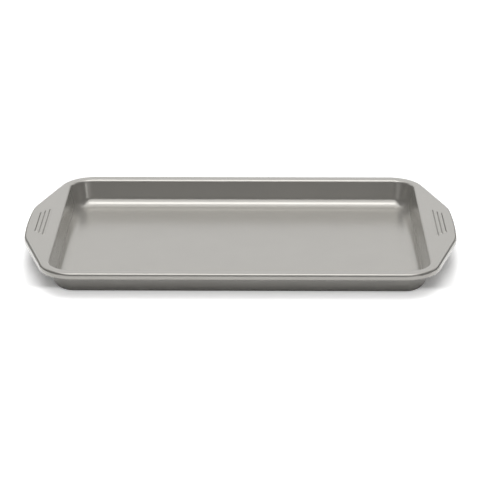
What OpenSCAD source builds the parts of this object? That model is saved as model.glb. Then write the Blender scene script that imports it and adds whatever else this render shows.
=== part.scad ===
// Jelly roll pan: a shallow rectangular baking tray, deep drawn from one blank of sheet steel,
// with two wide handles drawn out of its flange and a rim rolled around a steel wire.
// Origin: middle of the underside of the floor. +X along the pan, through the handles. +Z up.
// Sizes are in millimetres and angles in degrees.

/* [Tray] */
// Inside length at the top of the end walls
opening_l = 381; // [300:1:460]
// Inside width at the top of the long walls
opening_w = 254; // [200:1:320]
// Overall height, from the table to the top of the flange
pan_h = 28.4; // [22:0.2:40]
// Thickness of the sheet steel
sheet_t = 0.8; // [0.5:0.1:1.2]
// Lean of the walls from upright
wall_lean = 14; // [6:1:20]
// Corner radius of the opening, seen from above
corner_r = 25.4; // [20:0.2:40]
// Inside radius between the floor and the walls
floor_r = 11; // [6:0.5:13]
// Radius over the top edge of the walls, where they turn out into the flange
lip_r = 3.3; // [2:0.1:5]

/* [Flange and handles] */
// Width of the flange along the long sides, from the top of the wall to the rim's outer face
flange_w = 11; // [9:0.5:20]
// Reach of the handles, from the top of the end wall to the rim's outer face
handle_reach = 34.5; // [30:0.5:50]
// Width of a handle at its end, between the corners before rounding
handle_end_w = 76; // [70:1:120]
// Radius of the bowed end edge of a handle
end_bow_r = 500; // [300:10:900]
// Radius of the corners of a handle's end
handle_corner_r = 67; // [30:1:70]
// How far past the end of the opening the slanted sides of a handle start
slant_start = 0.6; // [0:0.2:6]
// Radius where the slanted side runs into the long side
shoulder_r = 38.4; // [30:0.2:60]

/* [Rolled rim] */
// Outer radius of the roll, at its top and around the wire
roll_r = 2.5; // [2:0.1:3.2]
// Height of the upright face between the top of the roll and the wire
roll_drop = 2.4; // [1:0.1:5]
// Gap between the tucked-in edge of the sheet and the underside of the flange
tuck_gap = 0.6; // [0.3:0.1:1.5]
// Clearance around the wire inside the roll
wire_clear = 0.1; // [0.05:0.05:0.3]
// Gap between the butted ends of the wire
wire_joint_gap = 0.4; // [0.2:0.1:2]

/* [Grip ribs] */
// Number of ribs in each handle
rib_count = 3; // [1:1:4]
// Distance from one rib to the next
rib_pitch = 4.4; // [4:0.1:6]
// Width of a rib at its foot
rib_w = 3.6; // [2.6:0.1:3.8]
// Height of a rib above the handle
rib_h = 0.9; // [0.6:0.1:1.2]
// Length of the innermost rib
rib_l = 73; // [50:1:90]
// How much shorter each next rib is
rib_step = 9; // [0:1:12]
// Distance from the end of a handle to the crest of the outermost rib
rib_edge = 12.6; // [10:0.2:16]

/* [Hidden] */
$fa = 2;
$fs = 0.4;
// Overlap that makes a cutting tool pass its face
eps = 1;

// Half sizes of the outline, at the rim's outer face
half_l = opening_l / 2 + handle_reach;
half_w = opening_w / 2 + flange_w;

// Section of the wall, drawn with X outwards from the axis of an opening corner
corner_axis_x = opening_l / 2 - corner_r;
corner_axis_y = opening_w / 2 - corner_r;
lip_c = [corner_r + lip_r * tan(45 - wall_lean / 2), pan_h - lip_r];
floor_c = [lip_c.x - (floor_r + lip_r + (lip_c.y - sheet_t - floor_r) * sin(wall_lean)) / cos(wall_lean),
           sheet_t + floor_r];

// Unit vector at an angle
function dir(a) = [cos(a), sin(a)];

// Outline of the handles, as circles that meet at tangents: the bowed end, the corner, the shoulder
handle_corner = [half_l, handle_end_w / 2];
slant_foot = [opening_l / 2 + slant_start, half_w];
slant_a = atan2(handle_corner.x - slant_foot.x, slant_foot.y - handle_corner.y);
slant_offset = slant_foot * dir(slant_a);
end_c = [half_l - end_bow_r, 0];
end_a = slant_a - acos((slant_offset - handle_corner_r - end_c.x * cos(slant_a))
                       / (end_bow_r - handle_corner_r));
corner_c = end_c + (end_bow_r - handle_corner_r) * dir(end_a);
shoulder_c = [(slant_offset - shoulder_r - (half_w - shoulder_r) * sin(slant_a)) / cos(slant_a),
              half_w - shoulder_r];

// Section of the rolled rim, drawn with X = 0 at the outer face and the pan at negative X
roll_top_c = [-roll_r, pan_h - roll_r];
wire_c = [-roll_r, pan_h - roll_r - roll_drop];
wire_r = roll_r - sheet_t - wire_clear;
tuck_top = pan_h - sheet_t - tuck_gap;

// Flat edge that each bent strip of sheet shares with the plate beside it
lap = 1;
// The wall and every second run of the rim are this much slimmer than their neighbours and end
// this far inside them, because runs that only just touch at a rounded coordinate may not join
run_slim = 0.01;
run_reach = 0.05;

// Ribs: a round bead of this radius stands rib_h above the flange and is rib_w wide at its foot
bead_r = (rib_w * rib_w / 4 + rib_h * rib_h) / (2 * rib_h);

// Part of a ring of sheet between two angles less than 180 degrees apart
module ring_sector(r_out, a_from, a_to, slim = 0) {
    far = 2 * r_out;
    intersection() {
        difference() {
            circle(r_out - slim);
            circle(r_out - sheet_t + slim);
        }
        polygon([[0, 0], far * dir(a_from), 2 * far * dir((a_from + a_to) / 2), far * dir(a_to)]);
    }
}

// Edge of the floor, floor radius, wall, lip radius and edge of the flange as one strip of sheet
module wall_section() {
    translate([floor_c.x - lap, 0]) square([lap, sheet_t]);
    translate(floor_c) ring_sector(floor_r + sheet_t, -90, -wall_lean);
    out = dir(-wall_lean);
    reach = run_reach * dir(90 - wall_lean);
    polygon([floor_c + (floor_r + run_slim) * out - reach,
             floor_c + (floor_r + sheet_t - run_slim) * out - reach,
             lip_c - (lip_r - sheet_t + run_slim) * out + reach,
             lip_c - (lip_r - run_slim) * out + reach]);
    translate(lip_c) ring_sector(lip_r, 90, 180 - wall_lean);
    translate([lip_c.x, pan_h - sheet_t]) square([lap, sheet_t]);
}

// Edge of the flange, then over the top, down the outer face, around the wire and up inside
module rim_section(slim) {
    sheet = sheet_t - 2 * slim;
    translate([-roll_r - lap, pan_h - sheet_t + slim]) square([lap, sheet]);
    translate(roll_top_c) ring_sector(roll_r, 0, 90, slim);
    translate([-sheet_t + slim, wire_c.y]) square([sheet, roll_drop]);
    translate(wire_c) ring_sector(roll_r, -90, 0, slim);
    translate(wire_c) ring_sector(roll_r, 180, 270, slim);
    translate([-2 * roll_r + slim, wire_c.y]) square([sheet, tuck_top - wire_c.y]);
}

module wire_section(slim) {
    translate(wire_c) circle(wire_r - slim);
}

// Rounded rectangle around the tray, this far out from the axes of the opening's corners
module tray_plan(r) {
    square([2 * (corner_axis_x + r), 2 * corner_axis_y], center = true);
    square([2 * corner_axis_x, 2 * (corner_axis_y + r)], center = true);
    for (sx = [-1, 1], sy = [-1, 1])
        translate([sx * corner_axis_x, sy * corner_axis_y]) circle(r);
}

// Points along an arc, half a step clear of its ends
function arc(centre, r, a_from, a_to) =
    let (steps = ceil((a_to - a_from) / 3))
    [for (i = [0.5 : steps]) centre + r * dir(a_from + (a_to - a_from) * i / steps)];

// Outline of the pan with its handles, this far inside the rim's outer face
module handle_plan(inset) {
    quarter = concat([[0, 0], [half_l - inset, 0]],
                     arc(end_c, end_bow_r - inset, 0, end_a),
                     arc(corner_c, handle_corner_r - inset, end_a, slant_a),
                     arc(shoulder_c, shoulder_r - inset, slant_a, 90),
                     [[0, half_w - inset]]);
    for (mx = [0, 1], my = [0, 1]) mirror([mx, 0]) mirror([0, my]) polygon(quarter);
}

// A section run straight from a point towards the angle a, its X to the left of the way
module straight_run(from, a, length) {
    translate([from.x, from.y, 0]) rotate([90, 0, a + 90]) linear_extrude(length) children();
}

// A section swung around a centre, its X outwards from the circle of radius r
module turned_run(centre, r, a_from, a_to) {
    translate([centre.x, centre.y, 0]) rotate([0, 0, a_from])
        rotate_extrude(angle = a_to - a_from) translate([r, 0]) children();
}

module both_ends() {
    for (mx = [0, 1]) mirror([mx, 0, 0]) children();
}

module both_sides() {
    for (my = [0, 1]) mirror([0, my, 0]) children();
}

// Two sections swept along the whole outer edge: the first around the corners and the shoulders,
// the slimmer second along the runs between them, ending inside the first
module rim_sweep() {
    slant_top = shoulder_c + shoulder_r * dir(slant_a);
    slant_way = corner_c + handle_corner_r * dir(slant_a) - slant_top;
    reach_a = run_reach / end_bow_r * 180 / PI;
    both_ends() both_sides() {
        turned_run(corner_c, handle_corner_r, end_a, slant_a) children(0);
        turned_run(shoulder_c, shoulder_r, slant_a, 90) children(0);
        straight_run(slant_top + run_reach * dir(slant_a + 90), slant_a - 90,
                     norm(slant_way) + 2 * run_reach) children(1);
    }
    both_ends() turned_run(end_c, end_bow_r, -end_a - reach_a, end_a + reach_a) children(1);
    both_sides() straight_run([-shoulder_c.x - run_reach, half_w], 0,
                              2 * (shoulder_c.x + run_reach)) children(1);
}

// The tray's four walls and four corners
module tray_walls() {
    both_ends() straight_run([corner_axis_x, corner_axis_y], -90, 2 * corner_axis_y) wall_section();
    both_sides() straight_run([-corner_axis_x, corner_axis_y], 0, 2 * corner_axis_x) wall_section();
    both_ends() both_sides() turned_run([corner_axis_x, corner_axis_y], 0, 0, 90) wall_section();
}

// One bead of a rib, with ball ends, lying along Y in the plane of the handle
module bead(r, length) {
    rotate([90, 0, 0]) cylinder(r = r, h = length, center = true);
    for (sy = [-1, 1]) translate([0, sy * length / 2, 0]) sphere(r);
}

module for_each_rib() {
    for (mx = [0, 1], i = [0 : rib_count - 1]) mirror([mx, 0, 0])
        translate([half_l - rib_edge - i * rib_pitch, 0, pan_h + rib_h - bead_r]) {
            $rib_run = rib_l - (rib_count - 1 - i) * rib_step - rib_w;
            children();
        }
}

module pan_shell() {
    color("#b4b2ae") difference() {
        union() {
            linear_extrude(sheet_t) tray_plan(floor_c.x - lap / 2);
            tray_walls();
            translate([0, 0, pan_h - sheet_t]) linear_extrude(sheet_t) difference() {
                handle_plan(roll_r + lap / 2);
                tray_plan(lip_c.x + lap / 2);
            }
            rim_sweep() {
                rim_section(0);
                rim_section(run_slim);
            }
            intersection() {
                for_each_rib() bead(bead_r, $rib_run);
                translate([-half_l, -half_w, pan_h - sheet_t])
                    cube([2 * half_l, 2 * half_w, 2 * rib_h + sheet_t]);
            }
        }
        for_each_rib() bead(bead_r - sheet_t, $rib_run);
    }
}

module rim_wire() {
    color("silver") difference() {
        rim_sweep() {
            wire_section(0);
            wire_section(run_slim);
        }
        translate([0, half_w - roll_r, wire_c.y])
            cube([wire_joint_gap, 2 * wire_r + eps, 2 * wire_r + eps], center = true);
    }
}

pan_shell();
rim_wire();
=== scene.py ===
"""A jelly roll pan of coated sheet steel, photographed on a white studio table.

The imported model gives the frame: metres, +X through the handles, +Z up, the table at z = 0.
The shell is one lofted sheet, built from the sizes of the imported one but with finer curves.
"""

import logging
import math
from collections.abc import Callable
from dataclasses import dataclass, field
from enum import Enum

import bpy
import numpy as np
from mathutils import Matrix, Vector


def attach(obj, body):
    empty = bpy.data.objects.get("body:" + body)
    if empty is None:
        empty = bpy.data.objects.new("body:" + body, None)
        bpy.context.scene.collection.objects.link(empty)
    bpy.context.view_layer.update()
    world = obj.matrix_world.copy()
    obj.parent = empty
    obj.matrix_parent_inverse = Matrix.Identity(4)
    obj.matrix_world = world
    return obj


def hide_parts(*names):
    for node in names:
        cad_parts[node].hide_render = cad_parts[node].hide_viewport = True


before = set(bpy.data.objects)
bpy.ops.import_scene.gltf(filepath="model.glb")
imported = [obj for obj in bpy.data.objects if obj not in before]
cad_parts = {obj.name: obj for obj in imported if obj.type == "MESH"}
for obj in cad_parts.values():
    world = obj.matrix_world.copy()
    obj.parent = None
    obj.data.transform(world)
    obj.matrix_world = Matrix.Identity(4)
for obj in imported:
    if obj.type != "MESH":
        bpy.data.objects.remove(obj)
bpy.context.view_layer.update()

MM = 0.001
WHITE = "#ffffff"
LOG = logging.getLogger("jelly_roll_pan")


def hex_to_linear(colour: str) -> tuple[float, float, float, float]:
    """Turn an sRGB hex colour into the linear colour that shaders take.

    Args:
        colour: Six hex digits after a hash sign, such as "#b4b2ae".

    Returns:
        Red, green, blue and an alpha of one.
    """
    values = [int(colour[i : i + 2], 16) / 255 for i in (1, 3, 5)]
    # The curve of the sRGB standard: straight near black, a power of 2.4 above.
    linear = [v / 12.92 if v <= 0.04045 else ((v + 0.055) / 1.055) ** 2.4 for v in values]
    return (*linear, 1.0)


def unit(angle: float) -> np.ndarray:
    """Return the unit vector at an angle in degrees from the first axis."""
    return np.array([math.cos(math.radians(angle)), math.sin(math.radians(angle))])


def add_node(
    tree: bpy.types.NodeTree,
    kind: str,
    settings: dict[str, object] | None = None,
    inputs: dict[str | int, object] | None = None,
    links: dict[str | int, bpy.types.NodeSocket] | None = None,
) -> bpy.types.Node:
    """Add a node with its settings, fixed inputs and links.

    Args:
        tree: The node tree that gets the node.
        kind: Blender's name for the type of node.
        settings: Properties of the node by name.
        inputs: Values of its sockets by name or number.
        links: Sockets that feed its sockets, by name or number.

    Returns:
        The new node.
    """
    node = tree.nodes.new(kind)
    for name, value in (settings or {}).items():
        setattr(node, name, value)
    for name, value in (inputs or {}).items():
        node.inputs[name].default_value = value
    for name, source in (links or {}).items():
        tree.links.new(source, node.inputs[name])
    return node


def empty_material(name: str) -> bpy.types.Material:
    """Make a node material whose tree has no nodes yet.

    Args:
        name: Name of the material.

    Returns:
        The new material.
    """
    material = bpy.data.materials.new(name)
    material.use_nodes = True
    material.node_tree.nodes.clear()
    return material


@dataclass(frozen=True)
class ReleaseCoating:
    """Grey release coating with metal flake, sprayed on and baked.

    Part of the light is scattered by the binder and part mirrored by the flakes, which lie flat in
    the film. So flat faces look satin, and tight bends show clear bright lines.
    """

    name: str = "release_coating"
    colour: str = "#acaaa5"
    dark_colour: str = "#a7a5a0"
    metallic: float = 0.53
    roughness: float = 0.22
    # How far the flakes take the roughness up and down
    roughness_play: float = 0.03
    flake_mm: float = 1.6
    flake_detail: float = 1.0
    mottle_mm: float = 38.0
    mottle_detail: float = 2.0
    wave_mm: float = 14.0
    wave_height_mm: float = 0.01
    wave_strength: float = 0.1

    def build(self) -> bpy.types.Material:
        """Build the material.

        Returns:
            The coating as a node material.
        """
        material = empty_material(self.name)
        tree = material.node_tree
        place = add_node(tree, "ShaderNodeTexCoord").outputs["Object"]
        # Spray passes leave faint cloudy patches.
        mottle = add_node(
            tree,
            "ShaderNodeTexNoise",
            inputs={"Scale": 1 / (self.mottle_mm * MM), "Detail": self.mottle_detail},
            links={"Vector": place},
        )
        tint = add_node(
            tree,
            "ShaderNodeMix",
            {"data_type": "RGBA"},
            {"A": hex_to_linear(self.dark_colour), "B": hex_to_linear(self.colour)},
            {"Factor": mottle.outputs["Fac"]},
        )
        # Flakes of about 0.05 mm are too fine to show, so they are drawn coarser.
        flake = add_node(
            tree,
            "ShaderNodeTexNoise",
            inputs={"Scale": 1 / (self.flake_mm * MM), "Detail": self.flake_detail},
            links={"Vector": place},
        )
        rough = add_node(
            tree,
            "ShaderNodeMapRange",
            inputs={
                "To Min": self.roughness - self.roughness_play,
                "To Max": self.roughness + self.roughness_play,
            },
            links={"Value": flake.outputs["Fac"]},
        )
        # The sprayed film levels out into very low, wide waves.
        wave = add_node(
            tree,
            "ShaderNodeTexNoise",
            inputs={"Scale": 1 / (self.wave_mm * MM), "Detail": 0.0},
            links={"Vector": place},
        )
        bump = add_node(
            tree,
            "ShaderNodeBump",
            inputs={"Strength": self.wave_strength, "Distance": self.wave_height_mm * MM},
            links={"Height": wave.outputs["Fac"]},
        )
        shader = add_node(
            tree,
            "ShaderNodeBsdfPrincipled",
            inputs={"Metallic": self.metallic},
            links={
                "Base Color": tint.outputs["Result"],
                "Roughness": rough.outputs["Result"],
                "Normal": bump.outputs["Normal"],
            },
        )
        add_node(tree, "ShaderNodeOutputMaterial", links={"Surface": shader.outputs["BSDF"]})
        return material


@dataclass(frozen=True)
class DrawnWire:
    """Low carbon steel wire, cold drawn and left bright.

    The die leaves it smooth with a fine scoring, so it looks clean, grey and half polished.
    """

    name: str = "drawn_wire"
    colour: str = "#c3c2c0"
    roughness: float = 0.35
    score_mm: float = 0.3
    score_detail: float = 2.0
    score_depth_mm: float = 0.02
    score_strength: float = 0.2

    def build(self) -> bpy.types.Material:
        """Build the material.

        Returns:
            The wire's finish as a node material.
        """
        material = empty_material(self.name)
        tree = material.node_tree
        place = add_node(tree, "ShaderNodeTexCoord").outputs["Object"]
        # Scores of a few hundredths of a millimetre are drawn coarser, so that they can show.
        score = add_node(
            tree,
            "ShaderNodeTexNoise",
            inputs={"Scale": 1 / (self.score_mm * MM), "Detail": self.score_detail},
            links={"Vector": place},
        )
        bump = add_node(
            tree,
            "ShaderNodeBump",
            inputs={"Strength": self.score_strength, "Distance": self.score_depth_mm * MM},
            links={"Height": score.outputs["Fac"]},
        )
        shader = add_node(
            tree,
            "ShaderNodeBsdfPrincipled",
            inputs={
                "Base Color": hex_to_linear(self.colour),
                "Metallic": 1.0,
                "Roughness": self.roughness,
            },
            links={"Normal": bump.outputs["Normal"]},
        )
        add_node(tree, "ShaderNodeOutputMaterial", links={"Surface": shader.outputs["BSDF"]})
        return material


@dataclass(frozen=True)
class PanSizes:
    """Real sizes of the pan in millimetres and degrees.

    They are the sizes of the part's source, but for the ribs: 3.2 mm wide here, 3.6 mm there. The
    lines they draw on the handles are as slim as that in the photograph.
    """

    # Tray
    opening_l: float = 381.0
    opening_w: float = 254.0
    pan_h: float = 28.4
    sheet_t: float = 0.8
    wall_lean: float = 14.0
    corner_r: float = 25.4
    floor_r: float = 11.0
    lip_r: float = 3.3
    # Flange and handles
    flange_w: float = 11.0
    handle_reach: float = 34.5
    handle_end_w: float = 76.0
    end_bow_r: float = 500.0
    handle_corner_r: float = 67.0
    slant_start: float = 0.6
    shoulder_r: float = 38.4
    # Rolled rim
    roll_r: float = 2.5
    roll_drop: float = 2.4
    tuck_gap: float = 0.6
    # Grip ribs, whose foot runs out softly into the handle
    rib_count: int = 3
    rib_pitch: float = 4.4
    rib_w: float = 3.2
    rib_h: float = 0.9
    rib_l: float = 73.0
    rib_step: float = 9.0
    rib_edge: float = 12.6
    rib_foot: float = 0.06

    @property
    def half_l(self) -> float:
        """Half the overall length."""
        return self.opening_l / 2 + self.handle_reach

    @property
    def half_w(self) -> float:
        """Half the overall width."""
        return self.opening_w / 2 + self.flange_w

    @property
    def corner_axis(self) -> np.ndarray:
        """Upright axis that a corner of the opening turns around."""
        return np.array([self.opening_l / 2 - self.corner_r, self.opening_w / 2 - self.corner_r])

    @property
    def lip_c(self) -> tuple[float, float]:
        """Centre of the lip radius: distance out from the corner axis, and height."""
        out = self.corner_r + self.lip_r * math.tan(math.radians(45 - self.wall_lean / 2))
        return out, self.pan_h - self.lip_r

    @property
    def floor_c(self) -> tuple[float, float]:
        """Centre of the floor radius, which leaves the wall straight up to the lip radius.

        Returns:
            Distance out from the corner axis, and height.
        """
        lean = math.radians(self.wall_lean)
        out, top = self.lip_c
        drop = top - self.sheet_t - self.floor_r
        run = (self.floor_r + self.lip_r + drop * math.sin(lean)) / math.cos(lean)
        return out - run, self.sheet_t + self.floor_r


@dataclass
class RimOutline:
    """Plan of a quarter of the rim, as arcs and straights that meet at tangents.

    The inset is its distance inside the rim's outer face, and the spacing that of its points along
    the arcs, both in millimetres.
    """

    sizes: PanSizes
    inset: float
    spacing: float = 0.05
    points: np.ndarray = field(init=False)
    normals: np.ndarray = field(init=False)

    def __post_init__(self) -> None:
        """Lay out the points and the outward normals at them, from the handle to the long side."""
        s = self.sizes
        corner = np.array([s.half_l, s.handle_end_w / 2])
        foot = np.array([s.opening_l / 2 + s.slant_start, s.half_w])
        slant_a = math.degrees(math.atan2(corner[0] - foot[0], foot[1] - corner[1]))
        slant = unit(slant_a)
        offset = float(foot @ slant)
        end_c = np.array([s.half_l - s.end_bow_r, 0.0])
        reach = s.end_bow_r - s.handle_corner_r
        lean = (offset - s.handle_corner_r - end_c[0] * slant[0]) / reach
        end_a = slant_a - math.degrees(math.acos(lean))
        corner_c = end_c + reach * unit(end_a)
        shoulder_y = s.half_w - s.shoulder_r
        shoulder_x = (offset - s.shoulder_r - shoulder_y * slant[1]) / slant[0]
        shoulder_c = np.array([shoulder_x, shoulder_y])
        points: list[np.ndarray] = []
        normals: list[np.ndarray] = []
        for centre, radius, start, stop in (
            (end_c, s.end_bow_r, 0.0, end_a),
            (corner_c, s.handle_corner_r, end_a, slant_a),
            (shoulder_c, s.shoulder_r, slant_a, 90.0),
        ):
            steps = max(2, int(math.radians(stop - start) * radius / self.spacing))
            for angle in np.linspace(start, stop, steps):
                points.append(centre + (radius - self.inset) * unit(angle))
                normals.append(unit(angle))
        points.append(np.array([0.0, s.half_w - self.inset]))
        normals.append(unit(90))
        self.points = np.array(points)
        self.normals = np.array(normals)

    def meet(self, base: np.ndarray, way: np.ndarray) -> tuple[np.ndarray, np.ndarray]:
        """Find where a line from a point inside crosses the outline.

        Args:
            base: Start of the line in the plan.
            way: Its direction.

        Returns:
            The crossing point and the outline's outward normal there.
        """
        gap = self.points - base
        side = gap[:, 0] * way[1] - gap[:, 1] * way[0]
        i = int(np.clip(np.searchsorted(-side, 0.0) - 1, 0, len(side) - 2))
        share = side[i] / (side[i] - side[i + 1]) if side[i] != side[i + 1] else 0.0
        share = min(max(share, 0.0), 1.0)
        point = self.points[i] * (1 - share) + self.points[i + 1] * share
        normal = self.normals[i] * (1 - share) + self.normals[i + 1] * share
        return point, normal / np.linalg.norm(normal)


@dataclass
class PanShell:
    """The drawn sheet: floor, walls, flange, ribbed handles and rolled edge as one loft.

    Spokes run outwards all round the pan, and each ring of the loft has one point on each spoke.
    """

    sizes: PanSizes = field(default_factory=PanSizes)
    finish: ReleaseCoating = field(default_factory=ReleaseCoating)
    # Spokes, a coarse step apart along the handle, but a fine one in the zone where the ribs end
    rib_zone: tuple[float, float] = (24.0, 39.0)
    fine_step: float = 0.4
    coarse_step: float = 3.1
    corner_spokes: int = 24
    side_spokes: int = 12
    # Rings of the tray: on the flat floor, around its radius, up the wall and over the lip
    floor_gaps: tuple[float, ...] = (9.0, 3.0)
    floor_rings: int = 15
    wall_shares: tuple[float, ...] = (0.15, 0.5, 0.85)
    lip_rings: int = 11
    # Rings of the flange, as shares of the way to the roll: before the ribs, across them and past
    # them. Those across reach past the outer crests by the margin, a share of a rib's width.
    inner_shares: tuple[float, ...] = (0.1, 0.18)
    top_rib_rings: int = 50
    under_rib_rings: int = 24
    outer_shares: tuple[float, ...] = (0.85, 0.96)
    rib_margin: float = 0.75
    # The roll is pressed a little flat outside: it turns down in a tight and then a slack bend,
    # goes around the wire and up inside
    tight_bend: float = 2.0
    slack_bend: float = 5.0
    bend_change: float = 28.0
    tight_rings: int = 9
    slack_rings: int = 7
    wire_rings: int = 19
    tuck_shares: tuple[float, ...] = (0.4, 1.0)
    # Each spoke's start, direction, point on the rim and rim normal there
    base: np.ndarray = field(init=False)
    way: np.ndarray = field(init=False)
    rim: np.ndarray = field(init=False)
    normal: np.ndarray = field(init=False)

    def quarter_spokes(self) -> list[tuple[np.ndarray, np.ndarray]]:
        """Spread the spokes of one quarter, from the handle's middle to the long side's middle.

        Returns:
            Pairs of a start point on the corner axis rectangle and a direction outwards.
        """
        axis = self.sizes.corner_axis
        low, high = self.rib_zone
        coarse, fine = self.coarse_step, self.fine_step
        spokes = []
        for start, stop, step in ((0.0, low, coarse), (low, high, fine), (high, axis[1], coarse)):
            for y in np.linspace(start, stop, round((stop - start) / step), endpoint=False):
                spokes.append((np.array([axis[0], y]), unit(0)))
        for angle in np.linspace(0, 90, self.corner_spokes, endpoint=False):
            spokes.append((axis, unit(angle)))
        for x in np.linspace(axis[0], 0, self.side_spokes + 1):
            spokes.append((np.array([x, axis[1]]), unit(90)))
        return spokes

    def lay_spokes(self) -> None:
        """Find each spoke's place on the rim, and mirror the quarter all round the pan."""
        outline = RimOutline(self.sizes, self.sizes.roll_r)
        quarter = []
        for base, way in self.quarter_spokes():
            quarter.append(np.concatenate([base, way, *outline.meet(base, way)]))
        first = np.array(quarter)
        # Each row holds four pairs of x and y. The spokes on the axes aren't repeated.
        flip_x = np.array([-1, 1] * 4)
        flip_y = np.array([1, -1] * 4)
        second = (first * flip_x)[::-1][1:]
        third = (first * flip_x * flip_y)[1:]
        fourth = (first * flip_y)[::-1][1:-1]
        ring = np.concatenate([first, second, third, fourth])
        self.base, self.way, self.rim, self.normal = (ring[:, i : i + 2] for i in (0, 2, 4, 6))

    def tray_ring(self, out: float, height: float) -> np.ndarray:
        """Return the ring of points this far out from the corner axes, at a height."""
        plan = self.base + self.way * out
        return np.column_stack([plan, np.full(len(plan), height)])

    def rim_ring(self, out: float, height: float) -> np.ndarray:
        """Return the ring of points this far out from the top of the roll, at a height."""
        plan = self.rim + self.normal * out
        return np.column_stack([plan, np.full(len(plan), height)])

    def flange_ring(self, share: float, height: float) -> np.ndarray:
        """Lay a ring of the flange, lifted where it crosses the ribs.

        Args:
            share: How far the ring lies from the lip to the roll, from 0 to 1.
            height: Height of this side of the flange.

        Returns:
            The ring of points.
        """
        inner = self.base + self.way * self.sizes.lip_c[0]
        plan = inner * (1 - share) + self.rim * share
        return np.column_stack([plan, height + self.rib_height(plan)])

    def rib_height(self, plan: np.ndarray) -> np.ndarray:
        """Work out how high the ribs lift the sheet at points in the plan.

        Args:
            plan: Points as an array of x and y.

        Returns:
            The lift of each point in millimetres.
        """
        s = self.sizes
        bead_r = (s.rib_w**2 / 4 + s.rib_h**2) / (2 * s.rib_h)
        lift = np.zeros(len(plan))
        for i in range(s.rib_count):
            crest = s.half_l - s.rib_edge - i * s.rib_pitch
            half_run = (s.rib_l - (s.rib_count - 1 - i) * s.rib_step - s.rib_w) / 2
            along = np.maximum(np.abs(plan[:, 1]) - half_run, 0)
            across = np.abs(plan[:, 0]) - crest
            q = np.hypot(along, across)
            bead = np.sqrt(np.maximum(bead_r**2 - q**2, 0)) - bead_r + s.rib_h
            bead = np.where(q < bead_r, bead, s.rib_h - bead_r)
            lift = np.maximum(lift, (bead + np.sqrt(bead**2 + s.rib_foot**2)) / 2)
        return lift

    def flange_shares(self, rib_rings: int) -> list[float]:
        """Spread the flange's rings, close together where the ribs are.

        Args:
            rib_rings: Number of rings across the ribs.

        Returns:
            Shares of the way from the lip to the roll, both ends left out.
        """
        s = self.sizes
        lip_x = s.corner_axis[0] + s.lip_c[0]
        width = s.half_l - s.roll_r - lip_x
        outer = s.half_l - s.rib_edge + s.rib_w * self.rib_margin
        inner = s.half_l - s.rib_edge - (s.rib_count - 1) * s.rib_pitch - s.rib_w * self.rib_margin
        low, high = (inner - lip_x) / width, (outer - lip_x) / width
        return [*self.inner_shares, *np.linspace(low, high, rib_rings), *self.outer_shares]

    @staticmethod
    def bend(
        ring: Callable[[float, float], np.ndarray],
        centre: tuple[float, float],
        radius: float,
        span: tuple[float, float],
        count: int,
    ) -> list[np.ndarray]:
        """Turn one side of the sheet around a centre.

        Args:
            ring: Method that makes a ring from a distance out and a height.
            centre: Distance out and height of the bend's centre.
            radius: Radius of this side of the sheet.
            span: Angles where the bend starts and ends, in degrees up from outwards.
            count: Number of rings.

        Returns:
            The rings of points in order.
        """
        rings = []
        for angle in np.linspace(*span, count):
            out, up = unit(angle) * radius
            rings.append(ring(centre[0] + out, centre[1] + up))
        return rings

    def tray_rings(self, skin: float) -> list[np.ndarray]:
        """Loft one side of the tray, from the floor up the wall and over the lip.

        Args:
            skin: Distance below the food side's face.

        Returns:
            The rings of points in order.
        """
        s = self.sizes
        out, up = s.floor_c
        rings = [self.tray_ring(out - gap, up - s.floor_r - skin) for gap in self.floor_gaps]
        foot = (-90, -s.wall_lean)
        rings += self.bend(self.tray_ring, s.floor_c, s.floor_r + skin, foot, self.floor_rings)
        top = (180 - s.wall_lean, 90)
        lip = self.bend(self.tray_ring, s.lip_c, s.lip_r - skin, top, self.lip_rings)
        rings += [rings[-1] * (1 - share) + lip[0] * share for share in self.wall_shares]
        return rings + lip

    def roll_rings(self, skin: float) -> list[np.ndarray]:
        """Loft one side of the rolled edge, from the top of the roll to the tucked-in edge.

        Args:
            skin: Distance inside the outer face.

        Returns:
            The rings of points in order.
        """
        s = self.sizes
        turn = unit(self.bend_change) * (self.slack_bend - self.tight_bend)
        slack_out = s.roll_r - self.slack_bend
        tight_up = s.pan_h - self.tight_bend
        tight_c = (slack_out + turn[0], tight_up)
        slack_c = (slack_out, tight_up - turn[1])
        wire_c = (0.0, s.pan_h - s.roll_r - s.roll_drop)
        tight_span, slack_span = (90, self.bend_change), (self.bend_change, 0)
        ring = self.rim_ring
        rings = self.bend(ring, tight_c, self.tight_bend - skin, tight_span, self.tight_rings)
        rings += self.bend(ring, slack_c, self.slack_bend - skin, slack_span, self.slack_rings)[1:]
        rings += self.bend(ring, wire_c, s.roll_r - skin, (0, -180), self.wire_rings)
        tuck = s.pan_h - s.sheet_t - s.tuck_gap
        for share in self.tuck_shares:
            rings.append(ring(skin - s.roll_r, wire_c[1] * (1 - share) + tuck * share))
        return rings

    def sheet_side(self, upper: bool) -> list[np.ndarray]:
        """Loft one side of the sheet, from the middle of the floor to the tucked-in edge.

        Args:
            upper: True for the food side, False for the underside.

        Returns:
            The rings of points in order.
        """
        skin = 0.0 if upper else self.sizes.sheet_t
        shares = self.flange_shares(self.top_rib_rings if upper else self.under_rib_rings)
        flange = [self.flange_ring(share, self.sizes.pan_h - skin) for share in shares]
        return self.tray_rings(skin) + flange + self.roll_rings(skin)

    def build(self) -> bpy.types.Object:
        """Join both sides of the sheet into one closed mesh.

        Returns:
            The shell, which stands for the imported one.
        """
        self.lay_spokes()
        rings = self.sheet_side(upper=True) + self.sheet_side(upper=False)[::-1]
        count = len(self.base)
        points = np.concatenate(rings) * MM
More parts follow.
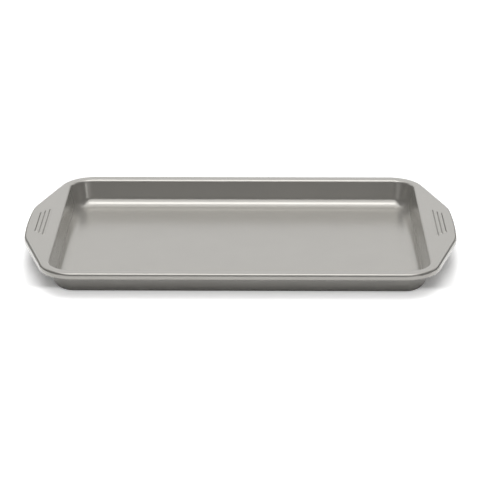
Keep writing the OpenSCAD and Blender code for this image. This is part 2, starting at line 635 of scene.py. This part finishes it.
        # The flat middle of the floor is one face on each side, and the rings are joined by quads.
        faces = [list(range(count)), list(range(len(points) - count, len(points)))[::-1]]
        for low in range(0, len(points) - count, count):
            for i in range(count):
                j = (i + 1) % count
                faces.append([low + i, low + count + i, low + count + j, low + j])
        mesh = bpy.data.meshes.new("pan_shell_sheet")
        mesh.from_pydata(points.tolist(), [], faces)
        mesh.validate()
        mesh.shade_smooth()
        shell = bpy.data.objects.new("pan_shell_sheet", mesh)
        bpy.context.scene.collection.objects.link(shell)
        LOG.info("shell: %d points, %d faces", len(mesh.vertices), len(mesh.polygons))
        return shell

    def dress(self, shell: bpy.types.Object) -> None:
        """Coat the shell."""
        shell.data.materials.append(self.finish.build())
        LOG.info("shell: coated")


@dataclass
class RimWire:
    """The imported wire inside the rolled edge, which keeps its shape and gets its finish here."""

    node: str = "rim_wire"
    finish: DrawnWire = field(default_factory=DrawnWire)

    def dress(self) -> None:
        """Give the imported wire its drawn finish."""
        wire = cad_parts[self.node]
        wire.data.materials.clear()
        wire.data.materials.append(self.finish.build())
        LOG.info("wire: dressed")


class Ray(Enum):
    """Kinds of ray that see the white studio as plain white."""

    CAMERA = "Is Camera Ray"
    GLOSSY = "Is Glossy Ray"
    TRANSMISSION = "Is Transmission Ray"


def seen_directly(tree: bpy.types.NodeTree) -> bpy.types.NodeSocket:
    """Add nodes that are one for camera, glossy and transmission rays, and zero for the rest.

    Args:
        tree: The node tree that gets the nodes.

    Returns:
        The socket with the result.
    """
    path = add_node(tree, "ShaderNodeLightPath")
    total = path.outputs[Ray.CAMERA.value]
    for ray in (Ray.GLOSSY, Ray.TRANSMISSION):
        links = {0: total, 1: path.outputs[ray.value]}
        total = add_node(tree, "ShaderNodeMath", {"operation": "MAXIMUM"}, links=links).outputs[0]
    return total


@dataclass(frozen=True)
class PaintedGlowTable:
    """White matt acrylic sheet with a painted glow.

    It looks plain white right up to the pan's shadow. The glow is painted light: emission that only
    the eye and reflections see, so it adds none on the pan. To the eye it is stronger in front of
    the pan and beside it, which lightens the pan's shadow there, and in reflections it is dim under
    the pan and bright beside it, as painted reflection. Glows are radiances, with one for white,
    and the places where they change are in metres from the pan's middle.
    """

    name: str = "white_table"
    colour: str = "#f4f4f4"
    # Light bounced onto the pan takes this darker colour while the eye and reflections see the
    # white one, which shades the pan's walls that face the table darker than a white table would
    bounce_colour: str = "#7c7c7c"
    # Painted glow under and behind the pan, and a stronger one in front of it that lightens the
    # shadow there
    glow: float = 0.15
    front_glow: float = 0.465
    front_from: float = -0.100
    front_full: float = -0.114
    # Painted glow beside the pan, clear of the shadow, which rises there to the front glow
    open_from: float = 0.214
    open_full: float = 0.235
    # Painted reflection: the glow that reflections see under the pan and beside it, and how much
    # further out the front part starts
    mirror_glow: float = 0.05
    side_glow: float = 0.6
    side_from: float = 0.185
    side_full: float = 0.215
    mirror_shift: float = 0.034

    def build_glow(self, tree: bpy.types.NodeTree, seen: bpy.types.NodeSocket) -> bpy.types.Node:
        """Add the painted glow, which only the eye and reflections see.

        Args:
            tree: The table's node tree.
            seen: Socket that is one for rays that see the table directly.

        Returns:
            The emission node.
        """
        smooth = {"interpolation_type": "SMOOTHSTEP"}
        place = add_node(tree, "ShaderNodeTexCoord").outputs["Object"]
        split = add_node(tree, "ShaderNodeSeparateXYZ", links={"Vector": place})
        mirrored = add_node(tree, "ShaderNodeLightPath").outputs[Ray.GLOSSY.value]
        aside = add_node(
            tree,
            "ShaderNodeMath",
            {"operation": "ABSOLUTE"},
            links={0: split.outputs["X"]},
        )
        beside = add_node(
            tree,
            "ShaderNodeMapRange",
            smooth,
            {
                "From Min": self.side_from,
                "From Max": self.side_full,
                "To Min": self.mirror_glow,
                "To Max": self.side_glow,
            },
            {"Value": aside.outputs["Value"]},
        )
        clear = add_node(
            tree,
            "ShaderNodeMapRange",
            smooth,
            {
                "From Min": self.open_from,
                "From Max": self.open_full,
                "To Min": self.glow,
                "To Max": self.front_glow,
            },
            {"Value": aside.outputs["Value"]},
        )
        # Reflections take the painted glow beside the pan, and the eye the painted glow clear of
        # the shadow.
        around = add_node(
            tree,
            "ShaderNodeMapRange",
            links={
                "Value": mirrored,
                "To Min": clear.outputs["Result"],
                "To Max": beside.outputs["Result"],
            },
        )
        # In reflections the painted bright front starts further out, clear of the rim's shadow,
        # which keeps the pan's front wall darker as painted shade.
        shifted = add_node(
            tree,
            "ShaderNodeMath",
            {"operation": "MULTIPLY_ADD"},
            {1: self.mirror_shift},
            {0: mirrored, 2: split.outputs["Y"]},
        )
        below = add_node(
            tree,
            "ShaderNodeMapRange",
            smooth,
            {
                "From Min": self.front_full,
                "From Max": self.front_from,
                "To Min": self.front_glow,
            },
            {"Value": shifted.outputs["Value"], "To Max": around.outputs["Result"]},
        )
        glow = add_node(
            tree,
            "ShaderNodeMapRange",
            inputs={"To Min": 0.0},
            links={"Value": seen, "To Max": below.outputs["Result"]},
        )
        return add_node(
            tree,
            "ShaderNodeEmission",
            inputs={"Color": hex_to_linear(WHITE)},
            links={"Strength": glow.outputs["Result"]},
        )

    def build(self) -> bpy.types.Material:
        """Build the material.

        Returns:
            The sheet as a node material.
        """
        material = empty_material(self.name)
        tree = material.node_tree
        seen = seen_directly(tree)
        # The eye and reflections see the white colour, bounced light the darker one, which shades
        # the pan
        colour = add_node(
            tree,
            "ShaderNodeMix",
            {"data_type": "RGBA"},
            {"A": hex_to_linear(self.bounce_colour), "B": hex_to_linear(self.colour)},
            {"Factor": seen},
        )
        paper = add_node(tree, "ShaderNodeBsdfDiffuse", links={"Color": colour.outputs["Result"]})
        # Painted glow on the table, which only the eye and reflections see
        light = self.build_glow(tree, seen)
        both = add_node(
            tree,
            "ShaderNodeAddShader",
            links={0: paper.outputs["BSDF"], 1: light.outputs["Emission"]},
        )
        add_node(tree, "ShaderNodeOutputMaterial", links={"Surface": both.outputs["Shader"]})
        return material


@dataclass(frozen=True)
class DarkCloth:
    """Black brushed cotton of a photographer's tent and flags, which soaks up light."""

    name: str = "dark_cloth"
    colour: str = "#2b2620"
    roughness: float = 0.9

    def build(self) -> bpy.types.Material:
        """Build the material.

        Returns:
            The cloth as a node material.
        """
        material = bpy.data.materials.new(self.name)
        material.use_nodes = True
        shader = material.node_tree.nodes["Principled BSDF"]
        shader.inputs["Base Color"].default_value = hex_to_linear(self.colour)
        shader.inputs["Roughness"].default_value = self.roughness
        return material


@dataclass(frozen=True)
class Softbox:
    """A flat rectangular lamp that faces the pan, with its distance and size in metres.

    Its angle is measured from the back horizon over the top to the camera's side, and its turn from
    the middle of the picture to its right. White paper in plain light has a radiance of one.
    """

    name: str
    angle: float
    turn: float
    distance: float
    size: tuple[float, float]
    radiance: float

    def build(self) -> None:
        """Hang the lamp, turned to the pan and hidden from the camera."""
        rise, turn = math.radians(self.angle), math.radians(self.turn)
        level = math.cos(rise)
        way = Vector((-level * math.sin(turn), level * math.cos(turn), math.sin(rise)))
        place = way * self.distance
        data = bpy.data.lights.new(self.name, "AREA")
        data.shape = "RECTANGLE"
        data.size, data.size_y = self.size
        data.energy = self.radiance * math.pi * self.size[0] * self.size[1]
        lamp = bpy.data.objects.new(self.name, data)
        aim = (-place).to_track_quat("-Z", "Y")
        lamp.matrix_world = Matrix.Translation(place) @ aim.to_matrix().to_4x4()
        lamp.visible_camera = False
        bpy.context.scene.collection.objects.link(lamp)


# Two softboxes overhead light the floor and the handles. The low strips beside the camera draw the
# bright streaks in the back corners, each in the corner on the other side from where it stands.
LAMPS = (
    Softbox("softbox_main", 102.5, 0, 4.0, (2.9, 1.77), 2.3),
    Softbox("softbox_wide", 104, 0, 4.2, (5.4, 8.1), 1.75),
    Softbox("strip_right", 174, 39, 2.2, (0.32, 0.60), 1.7),
    Softbox("strip_right_soft", 174, 25, 2.2, (0.80, 0.60), 0.4),
    Softbox("strip_left", 174, -40, 2.2, (0.95, 0.60), 0.42),
    Softbox("low_fill", 174, 0, 2.2, (1.00, 0.60), 0.12),
)


@dataclass
class Studio:
    """White table and backdrop, softboxes overhead, and a dark tent over the camera's side.

    Two dark flags stand behind the pan, and the backdrop shows in the window between them.
    Distances are in metres and angles in degrees.
    """

    # The table carries a painted glow that lightens the pan's shadow and its reflections
    table: PaintedGlowTable = field(default_factory=PaintedGlowTable)
    cloth: DarkCloth = field(default_factory=DarkCloth)
    lamps: tuple[Softbox, ...] = LAMPS
    table_half: float = 12.0
    backdrop_light: float = 1.0
    # The tent, whose edge is measured from the back horizon over the top
    tent_radius: float = 6.5
    tent_edge: float = 60.0
    tent_rows: int = 20
    tent_columns: int = 21
    # The window's half width, and the flags, which reach from it round to the pan's sides
    backdrop_half: float = 22.5
    flag_end: float = 100.0
    flag_distance: float = 1.6
    flag_height: float = 0.92
    flag_columns: int = 16

    def build_world(self) -> None:
        """Make the surroundings a plain white backdrop, which also lights the pan from behind."""
        world = bpy.data.worlds.new("studio")
        bpy.context.scene.world = world
        world.use_nodes = True
        tree = world.node_tree
        tree.nodes.clear()
        back = add_node(
            tree,
            "ShaderNodeBackground",
            inputs={"Color": hex_to_linear(WHITE), "Strength": self.backdrop_light},
        )
        add_node(tree, "ShaderNodeOutputWorld", links={"Surface": back.outputs["Background"]})

    def sheet(
        self, name: str, rows: list[list[tuple[float, float, float]]], material: bpy.types.Material
    ) -> bpy.types.Object:
        """Loft a sheet of the studio through rows of points.

        Args:
            name: Name of the sheet.
            rows: Rows of points of the same length, in metres.
            material: Its finish.

        Returns:
            The sheet, marked as part of the stage.
        """
        wide = len(rows[0])
        faces = []
        for r in range(len(rows) - 1):
            for i in range(wide - 1):
                low = r * wide + i
                faces.append([low, low + 1, low + wide + 1, low + wide])
        mesh = bpy.data.meshes.new(name)
        mesh.from_pydata([point for row in rows for point in row], [], faces)
        mesh.materials.append(material)
        sheet = bpy.data.objects.new(name, mesh)
        bpy.context.scene.collection.objects.link(sheet)
        return sheet

    def build_table(self) -> None:
        """Lay the white table, which keeps the pan's shadow."""
        h = self.table_half
        rows = [[(-h, -h, 0), (h, -h, 0)], [(-h, h, 0), (h, h, 0)]]
        self.sheet("table", rows, self.table.build())

    def build_tent(self) -> None:
        """Hang the dark tent and flags, which only reflections and soft light meet."""
        cloth = self.cloth.build()
        rows = []
        for rise in np.linspace(self.tent_edge, 180, self.tent_rows):
            back, up = unit(rise) * self.tent_radius
            row = []
            for aside in np.linspace(-90, 90, self.tent_columns):
                share, side = unit(aside)
                row.append((side * self.tent_radius, back * share, up * share))
            rows.append(row)
        tents = [self.sheet("dark_tent", rows, cloth)]
        for side, name in ((-1, "dark_flag_left"), (1, "dark_flag_right")):
            reach = (side * self.flag_distance, self.flag_distance)
            turns = np.linspace(self.backdrop_half, self.flag_end, self.flag_columns)
            plan = [unit(90 - turn) * reach for turn in turns]
            rows = [[(x, y, height) for x, y in plan] for height in (0.0, self.flag_height)]
            tents.append(self.sheet(name, rows, cloth))
        for tent in tents:
            tent.visible_camera = False

    def build(self) -> None:
        """Set up the whole studio."""
        self.build_world()
        self.build_table()
        self.build_tent()
        for lamp in self.lamps:
            lamp.build()
        LOG.info("studio: table, tent, 2 flags and %d lamps are up", len(self.lamps))


@dataclass(frozen=True)
class PhotoCamera:
    """The photograph's camera, found by fitting the pan's known outline to the picture.

    The side, lift and distance place the frame's origin in its view, and angles are in degrees.
    """

    focal_px: float = 1755.754
    picture_px: int = 480
    sensor_mm: float = 36.0
    pitch: float = 22.40573
    yaw: float = -0.835596
    roll: float = 0.174013
    distance_mm: float = 1858.103
    side_mm: float = 0.71144
    lift_mm: float = -7.37283
    sight_m: float = 100.0

    def build(self) -> None:
        """Place the camera and make it the scene's own."""
        yaw, pitch = math.radians(self.yaw), math.radians(self.pitch)
        right = Vector((math.cos(yaw), -math.sin(yaw), 0))
        ahead = Vector((math.sin(yaw), math.cos(yaw), 0))
        up = Vector((0, 0, math.cos(pitch))) + ahead * math.sin(pitch)
        forward = ahead * math.cos(pitch) - Vector((0, 0, math.sin(pitch)))
        place = -(right * self.side_mm + up * self.lift_mm + forward * self.distance_mm) * MM
        c, s = math.cos(math.radians(self.roll)), math.sin(math.radians(self.roll))
        across = right * c - up * s
        upright = right * s + up * c
        axes = Matrix((across, upright, -forward)).transposed().to_4x4()
        data = bpy.data.cameras.new("photo_camera")
        data.sensor_width = self.sensor_mm
        data.lens = self.focal_px / self.picture_px * self.sensor_mm
        data.clip_end = self.sight_m
        camera = bpy.data.objects.new("photo_camera", data)
        camera.matrix_world = Matrix.Translation(place) @ axes
        bpy.context.scene.collection.objects.link(camera)
        bpy.context.scene.camera = camera
        LOG.info("camera: %.1f mm lens at %s", data.lens, [round(v, 3) for v in place])


def main() -> None:
    """Set up the camera, build and dress the pan, and build its studio."""
    logging.basicConfig(level=logging.INFO, format="%(name)s %(message)s")
    PhotoCamera().build()
    pan = PanShell()
    shell = pan.build()
    pan.dress(shell)
    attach(shell, "root")
    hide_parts("pan_shell")
    RimWire().dress()
    Studio().build()
    bpy.context.scene.view_settings.view_transform = "Standard"


if __name__ == "__main__":
    main()
